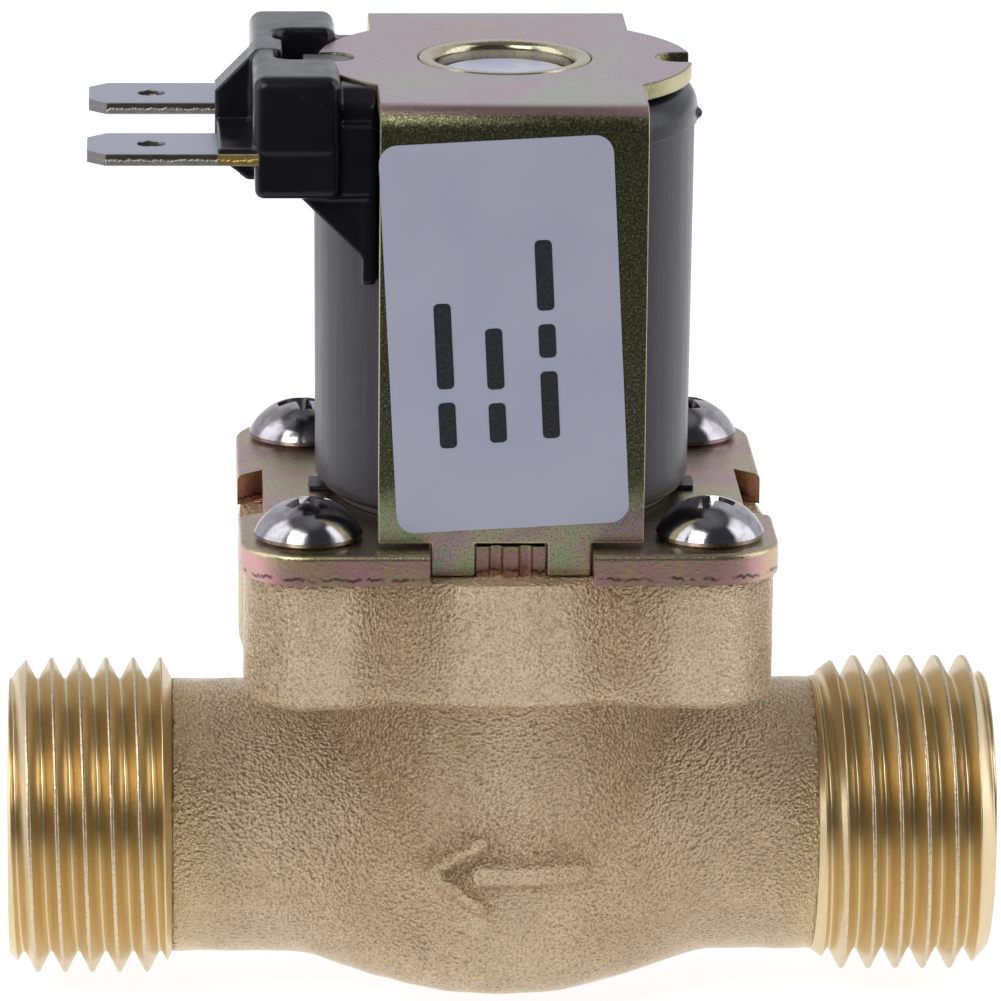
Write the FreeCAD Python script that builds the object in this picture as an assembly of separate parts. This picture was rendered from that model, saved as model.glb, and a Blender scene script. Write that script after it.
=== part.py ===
import FreeCAD, Part

# Pilot-operated diaphragm solenoid valve with two 1/2 inch male pipe ends, in millimetres.
# It is built about its own centre: X along the pipe, Z up along the coil, Z = 0 on the pipe axis.
# Export then moves it so that the origin is the centre of the inlet port's end face (+X end).

import math
import os

V = FreeCAD.Vector
X_AXIS = V(1, 0, 0)
Y_AXIS = V(0, 1, 0)
Z_AXIS = V(0, 0, 1)

# ---- driving dimensions: body ------------------------------------------------------------------
BODY_LENGTH = 65.0
THREAD_MAJOR_R = 20.955 / 2        # G 1/2 parallel pipe thread
THREAD_LENGTH = 11.2
PIPE_R = 9.08
BORE_R = 7.0
CUP_R = 11.75                      # upright cup between the pipes, under the flange
CUP_BOTTOM = -11.2
CUP_DOME_R = 27.7                  # shallow dome that closes the cup
CUP_EDGE_R = 1.6                   # rounding between the cup's wall and its dome
FLANGE_HALF_X = 17.1
FLANGE_HALF_Y = 17.2
FLANGE_CORNER_R = 4.2
FLANGE_BOTTOM = 12.0
FLANGE_TOP = 20.65
FLANGE_BULGE_R = 17.25             # round middle of each side of the flange
GROOVE_X = 7.1                     # upright grooves beside the round middle
GROOVE_R = 2.6
GROOVE_DEPTH = 0.9
ARROW_Z = -0.65
ARROW_RAISE = 0.45

# ---- driving dimensions: water way -------------------------------------------------------------
SEAT_Z = 14.25
NOZZLE_BORE_R = 3.6
NOZZLE_R = 5.4
CHAMBER_FLOOR = 8.75
CHAMBER_STEP = 12.85
CHAMBER_LOW_R = 9.6
CHAMBER_HIGH_R = 10.8
SOCKET_R = 14.0                    # round socket in the flange for the diaphragm rim
SOCKET_FLOOR = FLANGE_TOP - 4.2
RIM_TOP = SOCKET_FLOOR + 1.8
OUTLET_BORE_END = 4.2
INLET_BORE_END = 6.2
INLET_RISE_END = 9.0
INLET_RISE_HALF = 4.0

# ---- driving dimensions: cover plate and screws ------------------------------------------------
PLATE_T = 2.0
PLATE_TOP = FLANGE_TOP + PLATE_T
PLATE_HALF_X = 17.35
PLATE_HALF_Y = 17.6
PLATE_CORNER_R = 4.4
PLATE_EDGE_R = 0.35
END_NOTCH_HALF = 5.25              # half width of the notch for each leg of the yoke
TONGUE_HALF = 2.2
TONGUE_NICK_R = 0.5
TONGUE_NICK_X = 0.95
SIDE_NOTCH = ((-18.5, -8.6), (-17.0, -7.7), (-15.7, -6.8), (-15.7, 4.1), (-17.35, 2.6), (-18.5, 1.6))
SCREW_POS = 12.94
SCREW_R = 1.95
SCREW_LENGTH = 8.0
SCREW_HEAD_R = 3.5
SCREW_HEAD_H = 2.6
TAPPED_R = 2.0
RECESS_TOP_HALF = 2.0              # cross recess: half length and half width, at its top and floor
RECESS_TOP_W = 0.48
RECESS_FLOOR_HALF = 0.8
RECESS_FLOOR_W = 0.3
RECESS_DEPTH = 1.6

# ---- driving dimensions: magnetic circuit ------------------------------------------------------
STEEL_T = 1.15
YOKE_HALF_X = 8.53
YOKE_HALF_Y = 15.7
YOKE_TOP = 51.5
YOKE_LEG_BOTTOM = PLATE_TOP + 0.3
YOKE_BEND_R = 1.6
LOBE_R = 12.2
LOBE_SLOT_END = 9.85
LOBE_SLOT_W = 3.0
PRONG_INNER = 2.35
PRONG_OUTER = 5.1
PRONG_BOTTOM = FLANGE_TOP + 0.15
SLEEVE_R = 5.6                     # outside of both flux sleeves
SLEEVE_BORE_R = 4.52
SLEEVE_HOLE_R = 5.66
UPPER_SLEEVE_BOTTOM = 40.0
LOWER_SLEEVE_TOP = 29.0

# ---- driving dimensions: guide tube, plunger and diaphragm -------------------------------------
TUBE_R = 4.45
TUBE_BORE_R = 3.68
TUBE_TOP = YOKE_TOP - 0.95
TUBE_END_T = 1.0
TUBE_FLANGE_R = 13.9
BONNET_ROOF = FLANGE_TOP - 1.0
PLUNGER_R = 3.6
PLUNGER_BOTTOM = 18.0
PLUNGER_TOP = 45.55
PLUNGER_STROKE = 3.0
SPRING_R = 2.1
SPRING_WIRE_R = 0.28
SPRING_TURNS = 8
SPRING_POCKET_DEPTH = 9.0
PAD_R = 6.4
PAD_T = 1.2
WEB_T = 0.8

# ---- driving dimensions: coil ------------------------------------------------------------------
COIL_BOTTOM = PLATE_TOP + 0.5
COIL_SEAM = 47.6                   # where the outer sleeve meets the moulded head
COIL_TOP = YOKE_TOP - STEEL_T - 0.05
COIL_R_TOP = 12.42
COIL_R_BOTTOM = 12.26
COIL_SHELL_IN_R = 11.25
SPOOL_BORE_R = 5.72
SPOOL_BARREL_R = 6.7
SPOOL_FLANGE_R = 11.2
SPOOL_FLANGE_T = 1.25
WINDING_R = 10.85
SPOOL_BOTTOM = PLATE_TOP + 0.05
SPOOL_TOP = COIL_SEAM + 0.05
FOOT_R = 12.7
FOOT_T = 0.25
FOOT_HALF_W = 1.3
HEAD_RIM_R = 12.62

# ---- driving dimensions: terminal head ---------------------------------------------------------
HEAD_LEFT = -16.5
HEAD_RIGHT = -10.9
HEAD_TOP = 52.4
HEAD_BOTTOM = 44.4
HEAD_HALF_Y = 11.2
HEAD_SLOT_HALF_Y = 4.8
HEAD_WALL_T = 1.55
POCKET_FLOOR = 48.7                # floor of the pocket between the two terminal towers
KEY_TOP = YOKE_TOP - 0.1
WEB_LEFT = -18.86
WEB_HALF_Y = 1.7
WEB_OUTLINE = ((HEAD_LEFT + 1, HEAD_TOP - 0.1), (HEAD_LEFT + 0.2, HEAD_TOP - 0.1), (WEB_LEFT, 50.2),
               (WEB_LEFT, 45.6), (-17.9, 44.5), (HEAD_LEFT + 0.2, 43.7), (HEAD_LEFT + 1, 43.6))
ARM_BACK_Y = 6.5                   # side arm: a sloping-fronted bar on a deeper block
ARM_BAR_BOTTOM = 49.2
ARM_BAR_TOP = 51.3
ARM_BAR_FRONT_Y = 9.6
ARM_BAR_SLOPE_Z = 50.25            # where the bar's front starts to slope back
ARM_BAR_SLOPE_Y = 8.35             # how far the slope reaches at the bar's top
ARM_BLOCK_FRONT_Y = 10.4
RAIL_LEFT = -9.5
RAIL_FRONT_Y = 10.0
RAIL_BACK_Y = 8.2
RAIL_BOTTOM = 38.6
GUSSET_LEFT = -13.5
GUSSET_RIGHT = -9.4
GUSSET_BOTTOM = 40.3
GUSSET_FRONT_Y = 9.9
GUSSET_T = 1.4
TAB_TOP = 47.45
TAB_T = 0.8
TAB_W = 6.35
TAB_Y = 7.8
TAB_TIP = -27.1
TAB_ROOT = -12.7
TAB_HOLE_X = -23.0
TAB_HOLE_R = 0.875
LEAD_R = 0.25
LEAD_OUTER = (13.4, 7.4)           # distance left and sideways of the centre, at the tab's root
LEAD_INNER = (7.3, 4.2)            # the same where the wire drops to the winding
LEAD_RISE = 1.3

GAP = 0.02                         # working gap between pieces that only touch


# ---- small builders ----------------------------------------------------------------------------
def disc(radius, z0, z1, x=0.0, y=0.0):
    return Part.makeCylinder(radius, z1 - z0, V(x, y, z0), Z_AXIS)


def ring(outer, inner, z0, z1):
    return disc(outer, z0, z1).cut(disc(inner, z0 - 1, z1 + 1))


def rod_x(radius, x0, x1, y=0.0, z=0.0):
    return Part.makeCylinder(radius, x1 - x0, V(x0, y, z), X_AXIS)


def block(x0, x1, y0, y1, z0, z1):
    return Part.makeBox(x1 - x0, y1 - y0, z1 - z0, V(x0, y0, z0))


def prism(points, direction):
    """A closed outline of 3-D points swept along a direction."""
    closed = points + [points[0]]
    return Part.Face(Part.makePolygon(closed)).extrude(direction)


def rectangle(half_x, half_y, z):
    corners = [V(-half_x, -half_y, z), V(half_x, -half_y, z), V(half_x, half_y, z), V(-half_x, half_y, z)]
    return Part.makePolygon(corners + [corners[0]])


def turned(profile, axis=Z_AXIS):
    """A closed (radius, height) outline turned about Z, or (x, radius) about X."""
    if axis == Z_AXIS:
        points = [V(r, 0, z) for r, z in profile]
    else:
        points = [V(x, 0, r) for x, r in profile]
    face = Part.Face(Part.makePolygon(points + [points[0]]))
    return face.revolve(V(0, 0, 0), axis, 360)


def fuse(first, *others):
    return first.fuse(list(others)).removeSplitter()


def upright_edges(shape):
    """Straight edges that run along Z."""
    found = []
    for edge in shape.Edges:
        if len(edge.Vertexes) == 2:
            step = edge.Vertexes[1].Point - edge.Vertexes[0].Point
            if abs(step.x) < 1e-6 and abs(step.y) < 1e-6 and abs(step.z) > 1e-6:
                found.append(edge)
    return found


def edges_at(shape, height):
    """Edges that lie wholly at one height."""
    return [edge for edge in shape.Edges
            if abs(edge.BoundBox.ZMin - height) < 1e-5 and abs(edge.BoundBox.ZMax - height) < 1e-5]


def rounded_slab(half_x, half_y, corner_r, z0, z1):
    slab = block(-half_x, half_x, -half_y, half_y, z0, z1)
    return slab.makeFillet(corner_r, upright_edges(slab))


def mirrored_y(shape):
    return shape.mirror(V(0, 0, 0), Y_AXIS)


def four_corners():
    return [(sx * SCREW_POS, sy * SCREW_POS) for sx in (-1, 1) for sy in (-1, 1)]


# ---- body --------------------------------------------------------------------------------------
def cup(extra=0.0):
    """The upright cup between the pipes, closed below by a shallow dome."""
    dome_z = CUP_BOTTOM + CUP_DOME_R
    outline_r = CUP_R + extra
    wall_z = dome_z - math.sqrt(CUP_DOME_R ** 2 - outline_r ** 2)
    mid_r = outline_r / 2
    arc = Part.Arc(V(0, 0, CUP_BOTTOM), V(mid_r, 0, dome_z - math.sqrt(CUP_DOME_R ** 2 - mid_r ** 2)),
                   V(outline_r, 0, wall_z)).toShape()
    rest = Part.makePolygon([V(outline_r, 0, wall_z), V(outline_r, 0, FLANGE_BOTTOM),
                             V(0, 0, FLANGE_BOTTOM), V(0, 0, CUP_BOTTOM)])
    solid = Part.Face(Part.Wire([arc] + rest.Edges)).revolve(V(0, 0, 0), Z_AXIS, 360)
    return solid.makeFillet(CUP_EDGE_R, edges_at(solid, wall_z))


def flange():
    slab = rounded_slab(FLANGE_HALF_X, FLANGE_HALF_Y, FLANGE_CORNER_R, FLANGE_BOTTOM, FLANGE_TOP)
    slab = slab.fuse(disc(FLANGE_BULGE_R, FLANGE_BOTTOM, FLANGE_TOP))
    for side in (-1, 1):
        for turn in range(4):
            groove = disc(GROOVE_R, FLANGE_BOTTOM - 1, FLANGE_TOP + 1,
                          side * GROOVE_X, -(FLANGE_HALF_Y - GROOVE_DEPTH + GROOVE_R))
            groove.rotate(V(0, 0, 0), Z_AXIS, 90 * turn)
            slab = slab.cut(groove)
    return slab


def flow_arrow():
    """Raised arrow on the front of the cup, pointing to the outlet."""
    half = 0.7
    tip, barb, reach, tail = -5.2, 1.95, 3.6, 5.0
    z = ARROW_Z
    outline = [V(tail, -14, z - half), V(tail, -14, z + half), V(tip + 2 * half, -14, z + half),
               V(tip + reach + half, -14, z + barb), V(tip + reach - half, -14, z + barb + half),
               V(tip, -14, z), V(tip + reach - half, -14, z - barb - half),
               V(tip + reach + half, -14, z - barb), V(tip + 2 * half, -14, z - half)]
    return cup(ARROW_RAISE).common(prism(outline, V(0, 6, 0)))


def water_way():
    """Everything that is hollow in the body: two ports, the ring chamber and the seat nozzle."""
    half = BODY_LENGTH / 2
    high = ring(CHAMBER_HIGH_R, NOZZLE_R, CHAMBER_STEP, SEAT_Z)
    low = ring(CHAMBER_LOW_R, NOZZLE_R, CHAMBER_FLOOR, CHAMBER_STEP)
    over_seat = disc(CHAMBER_HIGH_R, SEAT_Z, SOCKET_FLOOR)
    socket = disc(SOCKET_R, SOCKET_FLOOR, FLANGE_TOP + 1)
    nozzle = disc(NOZZLE_BORE_R, 0, SEAT_Z)
    outlet = rod_x(BORE_R, -half - 1, OUTLET_BORE_END)
    inlet = rod_x(BORE_R, INLET_BORE_END, half + 1)
    rise = block(INLET_BORE_END, INLET_RISE_END, -INLET_RISE_HALF, INLET_RISE_HALF,
                 0, CHAMBER_FLOOR + 0.5)
    return high.fuse([low, over_seat, socket, nozzle, outlet, inlet, rise])


def valve_body():
    half = BODY_LENGTH / 2
    pipe = rod_x(PIPE_R, -half, half)
    inlet_thread = rod_x(THREAD_MAJOR_R, half - THREAD_LENGTH, half)
    outlet_thread = rod_x(THREAD_MAJOR_R, -half, -half + THREAD_LENGTH)
    solid = fuse(pipe, cup(), flange(), inlet_thread, outlet_thread, flow_arrow())
    solid = solid.cut(water_way())
    for x, y in four_corners():
        solid = solid.cut(disc(TAPPED_R, PLATE_TOP - SCREW_LENGTH - 0.7, FLANGE_TOP + 1, x, y))
    return solid


def inlet_strainer():
    """Plastic cage pushed into the inlet bore, with slots round its side and end."""
    inner, outer, seat_r = 6.1, 6.75, BORE_R - GAP
    x0, x1 = 20.5, 31.6
    cage = turned([(x0, 0), (x0, outer - 0.6), (x0 + 0.6, outer), (x1 - 0.9, outer), (x1 - 0.9, seat_r),
                   (x1, seat_r), (x1, inner), (x0 + 0.8, inner), (x0 + 0.8, 0)], X_AXIS)
    slots, slot_w, rows = 12, 1.9, ((x0 + 1.6, x0 + 4.9), (x0 + 5.7, x0 + 9.0))
    for k in range(slots):
        for a, b in rows:
            slot = block(a, b, -slot_w / 2, slot_w / 2, inner - 1, outer + 1)
            slot.rotate(V(0, 0, 0), X_AXIS, 360 * k / slots)
            cage = cage.cut(slot)
    hole_r = 0.7
    for ring_r, count in ((0, 1), (2.0, 6), (4.0, 12)):
        for k in range(count):
            angle = 2 * math.pi * k / count
            cage = cage.cut(rod_x(hole_r, x0 - 1, x0 + 2, ring_r * math.cos(angle), ring_r * math.sin(angle)))
    return cage


# ---- diaphragm, guide tube and plunger ---------------------------------------------------------
def diaphragm():
    """Rubber disc: a thick pad over the seat, a thin sloping web and a square rim."""
    web_r = CHAMBER_HIGH_R - 0.2
    rim_r = SOCKET_R - 0.1
    hole_r = 1.7
    solid = turned([(hole_r, SEAT_Z), (PAD_R - 0.4, SEAT_Z), (PAD_R, SEAT_Z + 0.4),
                    (web_r, SOCKET_FLOOR), (rim_r, SOCKET_FLOOR), (rim_r, RIM_TOP),
                    (web_r, RIM_TOP), (web_r, SOCKET_FLOOR + WEB_T), (PAD_R, SEAT_Z + 0.4 + WEB_T),
                    (PAD_R - 0.2, SEAT_Z + PAD_T), (hole_r, SEAT_Z + PAD_T)])
    bleed_r, bleed_at = 0.35, 8.4
    return solid.cut(disc(bleed_r, SEAT_Z - 1, RIM_TOP, 0, bleed_at))


def pilot_insert():
    """Plastic core of the diaphragm, with the pilot hole through its nipple."""
    hole_r, nipple_r, disc_r, stem_r, foot_r = 0.5, 1.5, 5.6, 1.68, 3.0
    pad_top = SEAT_Z + PAD_T
    return turned([(hole_r, SEAT_Z - 1.3), (foot_r - 0.6, SEAT_Z - 1.3), (foot_r, SEAT_Z - 0.7),
                   (foot_r, SEAT_Z - GAP), (stem_r, SEAT_Z - GAP), (stem_r, pad_top + GAP),
                   (disc_r, pad_top + GAP), (disc_r, pad_top + 0.7), (disc_r - 0.3, pad_top + 1.0),
                   (nipple_r + 0.4, pad_top + 1.0), (nipple_r, pad_top + 2.0), (hole_r, pad_top + 2.0)])


def guide_tube():
    """Closed plastic tube for the plunger, with the round flange that clamps the diaphragm."""
    body = turned([(TUBE_BORE_R, BONNET_ROOF), (CHAMBER_HIGH_R, BONNET_ROOF), (CHAMBER_HIGH_R, RIM_TOP),
                   (TUBE_FLANGE_R, RIM_TOP), (TUBE_FLANGE_R, FLANGE_TOP), (TUBE_R, FLANGE_TOP),
                   (TUBE_R, TUBE_TOP - 0.4), (TUBE_R - 0.12, TUBE_TOP - 0.12), (TUBE_R - 0.4, TUBE_TOP),
                   (0.9, TUBE_TOP), (0.5, TUBE_TOP - 0.12), (0, TUBE_TOP - 0.2), (0, TUBE_TOP - TUBE_END_T),
                   (TUBE_BORE_R, TUBE_TOP - TUBE_END_T)])
    return body


def plunger():
    pocket_r, pocket_depth = SPRING_R + 0.5, SPRING_POCKET_DEPTH
    seal_r, seal_depth = 2.3, 1.5
    return turned([(seal_r, PLUNGER_BOTTOM), (PLUNGER_R - 0.3, PLUNGER_BOTTOM),
                   (PLUNGER_R, PLUNGER_BOTTOM + 0.3), (PLUNGER_R, PLUNGER_TOP - 0.4),
                   (PLUNGER_R - 0.4, PLUNGER_TOP), (pocket_r, PLUNGER_TOP),
                   (pocket_r, PLUNGER_TOP - pocket_depth), (0, PLUNGER_TOP - pocket_depth),
                   (0, PLUNGER_BOTTOM + seal_depth), (seal_r, PLUNGER_BOTTOM + seal_depth)])


def plunger_seal():
    nipple_top = SEAT_Z + PAD_T + 2.0
    return turned([(0, nipple_top + GAP), (1.9, nipple_top + GAP), (2.28, nipple_top + 0.3),
                   (2.28, PLUNGER_BOTTOM + 1.48), (0, PLUNGER_BOTTOM + 1.48)])


def plunger_spring():
    """Return spring between the plunger's pocket and the closed end of the tube."""
    low = PLUNGER_TOP - SPRING_POCKET_DEPTH + SPRING_WIRE_R + GAP
    high = TUBE_TOP - TUBE_END_T - SPRING_WIRE_R - GAP
    helix = Part.makeHelix((high - low) / SPRING_TURNS, high - low, SPRING_R)
    section = Part.Wire(Part.makeCircle(SPRING_WIRE_R, V(SPRING_R, 0, 0), Y_AXIS))
    coil = Part.Wire(helix).makePipeShell([section], True, True)
    coil.translate(V(0, 0, low))
    return coil


# ---- cover plate and its screws ----------------------------------------------------------------
def cover_plate():
    """Square steel plate, notched on all four sides, with a staked tongue in the front and back."""
    plate = rounded_slab(PLATE_HALF_X, PLATE_HALF_Y, PLATE_CORNER_R, FLANGE_TOP, PLATE_TOP)
    plate = plate.makeFillet(PLATE_EDGE_R, edges_at(plate, PLATE_TOP))
    low, high = FLANGE_TOP - 1, PLATE_TOP + 1
    notch_y = YOKE_HALF_Y - STEEL_T - 0.05
    tongue_y = YOKE_HALF_Y - 0.3
    front = block(-END_NOTCH_HALF, END_NOTCH_HALF, -PLATE_HALF_Y - 1, -notch_y, low, high)
    front = front.cut(block(-TONGUE_HALF, TONGUE_HALF, -tongue_y, 0, low - 1, high + 1))
    for x in (-TONGUE_NICK_X, TONGUE_NICK_X):
        front = front.fuse(disc(TONGUE_NICK_R, low, high, x, -tongue_y - 0.15))
    side = prism([V(x, y, low) for x, y in SIDE_NOTCH], V(0, 0, high - low))
    plate = plate.cut(front)
    plate = plate.cut(mirrored_y(front))
    plate = plate.cut(side)
    plate = plate.cut(side.mirror(V(0, 0, 0), X_AXIS))
    plate = plate.cut(disc(SLEEVE_HOLE_R, low, high))
    for x, y in four_corners():
        plate = plate.cut(disc(TAPPED_R + 0.2, low, high, x, y))
    return plate


def cross_recess(turn):
    """Cross recess of a screw head, cut down from the head's top."""
    top = SCREW_HEAD_H + 0.3
    floor = SCREW_HEAD_H - RECESS_DEPTH
    arms = []
    for quarter in (0, 90):
        upper = rectangle(RECESS_TOP_HALF, RECESS_TOP_W, top)
        lower = rectangle(RECESS_FLOOR_HALF, RECESS_FLOOR_W, floor)
        arm = Part.makeLoft([lower, upper], True, True)
        arm.rotate(V(0, 0, 0), Z_AXIS, quarter + turn)
        arms.append(arm)
    return arms[0].fuse(arms[1])


def cover_screw(x, y, turn):
    """Pan-head screw: domed head on the plate, shank down into the flange."""
    rim = 0.45
    dome = Part.Arc(V(0, 0, SCREW_HEAD_H), V(2.35, 0, 1.86), V(SCREW_HEAD_R, 0, rim)).toShape()
    rest = Part.makePolygon([V(SCREW_HEAD_R, 0, rim), V(SCREW_HEAD_R - 0.05, 0, 0.2),
                             V(SCREW_HEAD_R - 0.25, 0, 0), V(SCREW_R, 0, 0),
                             V(SCREW_R, 0, 0.4 - SCREW_LENGTH), V(SCREW_R - 0.4, 0, -SCREW_LENGTH),
                             V(0, 0, -SCREW_LENGTH), V(0, 0, SCREW_HEAD_H)])
    screw = Part.Face(Part.Wire([dome] + rest.Edges)).revolve(V(0, 0, 0), Z_AXIS, 360)
    screw = screw.cut(cross_recess(turn))
    screw.translate(V(x, y, PLATE_TOP))
    return screw


def cover_screws():
    turns = (38, 12, 72, 25)
    return Part.makeCompound([cover_screw(x, y, turn) for (x, y), turn in zip(four_corners(), turns)])


# ---- magnetic circuit --------------------------------------------------------------------------
def yoke():
    """Bent steel strip over the coil, with two round lobes on top and two prongs on each leg."""
    outer = block(-YOKE_HALF_X, YOKE_HALF_X, -YOKE_HALF_Y, YOKE_HALF_Y, PRONG_BOTTOM, YOKE_TOP)
    bends = [e for e in edges_at(outer, YOKE_TOP) if e.BoundBox.XLength > e.BoundBox.YLength]
    outer = outer.makeFillet(YOKE_BEND_R, bends)
    in_y, in_top = YOKE_HALF_Y - STEEL_T, YOKE_TOP - STEEL_T
    inner = block(-YOKE_HALF_X - 1, YOKE_HALF_X + 1, -in_y, in_y, PRONG_BOTTOM - 5, in_top)
    bends = [e for e in edges_at(inner, in_top) if e.BoundBox.XLength > e.BoundBox.YLength]
    strip = outer.cut(inner.makeFillet(YOKE_BEND_R - STEEL_T, bends))
    strip = fuse(strip, disc(LOBE_R, in_top, YOKE_TOP))
    strip = strip.cut(disc(SLEEVE_HOLE_R, in_top - 1, YOKE_TOP + 1))
    slot_r = LOBE_SLOT_W / 2
    for side in (-1, 1):
        x = side * (LOBE_SLOT_END + slot_r)
        x_far = side * (LOBE_R + 2)
        strip = strip.cut(disc(slot_r, in_top - 1, YOKE_TOP + 1, x, 0))
        strip = strip.cut(block(min(x, x_far), max(x, x_far), -slot_r, slot_r, in_top - 1, YOKE_TOP + 1))
    far = YOKE_HALF_Y + 1
    beyond = YOKE_HALF_X + 1
    for x0, x1 in ((-beyond, -PRONG_OUTER), (-PRONG_INNER, PRONG_INNER), (PRONG_OUTER, beyond)):
        strip = strip.cut(block(x0, x1, -far, far, PRONG_BOTTOM - 1, YOKE_LEG_BOTTOM))
    return strip


def label():
    """Plain film label on the front leg of the yoke, a little askew."""
    half_w, half_h, corner, thick, tilt = 7.45, 12.7, 1.2, 0.1, 3.1
    x, z = -0.55, 36.7
    y = -YOKE_HALF_Y
    film = block(-half_w, half_w, y - thick, y, -half_h, half_h)
    corners = [e for e in film.Edges if e.BoundBox.YLength > thick / 2]
    film = film.makeFillet(corner, corners)
    film.rotate(V(0, 0, 0), Y_AXIS, -tilt)
    film.translate(V(x, 0, z))
    return film


def upper_flux_sleeve():
    """Steel sleeve in the yoke's hole, with a rounded mouth round the tube's end."""
    top, lip = YOKE_TOP + 0.05, 0.55
    start = V(SLEEVE_BORE_R, 0, top - lip)
    round_end = V(SLEEVE_BORE_R + lip, 0, top)
    mid = V(SLEEVE_BORE_R + lip * (1 - math.sqrt(0.5)), 0, top - lip * (1 - math.sqrt(0.5)))
    mouth = Part.Arc(start, mid, round_end).toShape()
    rest = Part.makePolygon([round_end, V(SLEEVE_R - 0.1, 0, top), V(SLEEVE_R, 0, top - 0.1),
                             V(SLEEVE_R, 0, UPPER_SLEEVE_BOTTOM),
                             V(SLEEVE_BORE_R, 0, UPPER_SLEEVE_BOTTOM), start])
    return Part.Face(Part.Wire([mouth] + rest.Edges)).revolve(V(0, 0, 0), Z_AXIS, 360)


def lower_flux_sleeve():
    return ring(SLEEVE_R, SLEEVE_BORE_R, FLANGE_TOP, LOWER_SLEEVE_TOP)


# ---- coil --------------------------------------------------------------------------------------
def bobbin():
    """Plastic spool with two flanges and two small feet that show under the coil."""
    low_in, high_in = SPOOL_BOTTOM + SPOOL_FLANGE_T, SPOOL_TOP - SPOOL_FLANGE_T
    spool = turned([(SPOOL_BORE_R, SPOOL_BOTTOM), (SPOOL_FLANGE_R, SPOOL_BOTTOM), (SPOOL_FLANGE_R, low_in),
                    (SPOOL_BARREL_R, low_in), (SPOOL_BARREL_R, high_in), (SPOOL_FLANGE_R, high_in),
                    (SPOOL_FLANGE_R, SPOOL_TOP), (SPOOL_BORE_R, SPOOL_TOP)])
    foot = disc(FOOT_R, SPOOL_BOTTOM, SPOOL_BOTTOM + FOOT_T)
    foot = foot.common(block(-FOOT_R, FOOT_R, -FOOT_HALF_W, FOOT_HALF_W, 0, COIL_TOP))
    foot = foot.cut(disc(SPOOL_FLANGE_R - 0.5, 0, 60))
    return spool.fuse(foot).cut(leads_and_tabs())


def winding():
    """The copper winding, as the closed ring that its turns fill."""
    low, high = SPOOL_BOTTOM + SPOOL_FLANGE_T + GAP, SPOOL_TOP - SPOOL_FLANGE_T - GAP
    return ring(WINDING_R, SPOOL_BARREL_R + GAP, low, high)


def insulation_tape():
    low, high = SPOOL_BOTTOM + SPOOL_FLANGE_T + GAP, SPOOL_TOP - SPOOL_FLANGE_T - GAP
    return ring(SPOOL_FLANGE_R - GAP, WINDING_R + GAP, low, high)


def coil_sleeve():
    """Matte outer sleeve of the coil, a little narrower at its rounded foot."""
    foot_r = 0.9
    foot_mid = foot_r * (1 - math.sqrt(0.5))
    start = V(COIL_R_BOTTOM - foot_r, 0, COIL_BOTTOM)
    end = V(COIL_R_BOTTOM, 0, COIL_BOTTOM + foot_r)
    arc = Part.Arc(start, V(COIL_R_BOTTOM - foot_mid, 0, COIL_BOTTOM + foot_mid), end).toShape()
    rest = Part.makePolygon([end, V(COIL_R_TOP, 0, COIL_SEAM - GAP), V(COIL_SHELL_IN_R, 0, COIL_SEAM - GAP),
                             V(COIL_SHELL_IN_R, 0, COIL_BOTTOM), start])
    return Part.Face(Part.Wire([arc] + rest.Edges)).revolve(V(0, 0, 0), Z_AXIS, 360)


# ---- terminal head -----------------------------------------------------------------------------
def terminal(side):
    """Flat 6.35 x 0.8 tab with a holed, chamfered tip, insert-moulded in the head."""
    y, half, tip_half, tip = side * TAB_Y, TAB_W / 2, 1.95, 1.2
    z = TAB_TOP - TAB_T
    blade = prism([V(TAB_TIP, y - tip_half, z), V(TAB_TIP + tip, y - half, z), V(TAB_ROOT, y - half, z),
                   V(TAB_ROOT, y + half, z), V(TAB_TIP + tip, y + half, z), V(TAB_TIP, y + tip_half, z)],
                  V(0, 0, TAB_T))
    return blade.cut(disc(TAB_HOLE_R, z - 1, z + 2, TAB_HOLE_X, y))


def lead(side):
    """Bare wire from a tab's root, over the spool flange and down to the winding."""
    low = SPOOL_TOP - SPOOL_FLANGE_T - GAP
    (x_out, y_out), (x_in, y_in) = LEAD_OUTER, LEAD_INNER
    high = TAB_TOP + LEAD_RISE
    points = [V(-x_out, side * y_out, TAB_TOP), V(-x_out, side * y_out, high),
              V(-x_in, side * y_in, high), V(-x_in, side * y_in, low)]
    wire = None
    for a, b in zip(points, points[1:]):
        run = Part.makeCylinder(LEAD_R, (b - a).Length, a, b - a)
        wire = run if wire is None else wire.fuse([run, Part.makeSphere(LEAD_R, a)])
    return wire


def leads_and_tabs():
    return terminal(-1).fuse([terminal(1), lead(-1), lead(1)])


def head_rim():
    """Round cap over the coil, with a full, rounded shoulder."""
    shoulder_z, top_r = COIL_SEAM + 1.1, HEAD_RIM_R - 1.5
    arc = Part.Arc(V(HEAD_RIM_R, 0, shoulder_z), V(HEAD_RIM_R - 0.4, 0, shoulder_z + 1.0),
                   V(top_r, 0, COIL_TOP)).toShape()
    rest = Part.makePolygon([V(top_r, 0, COIL_TOP), V(SPOOL_BORE_R, 0, COIL_TOP),
                             V(SPOOL_BORE_R, 0, SPOOL_TOP + GAP), V(SPOOL_FLANGE_R + GAP, 0, SPOOL_TOP + GAP),
                             V(SPOOL_FLANGE_R + GAP, 0, COIL_SEAM), V(HEAD_RIM_R, 0, COIL_SEAM),
                             V(HEAD_RIM_R, 0, shoulder_z)])
    return Part.Face(Part.Wire([arc] + rest.Edges)).revolve(V(0, 0, 0), Z_AXIS, 360)


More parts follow.
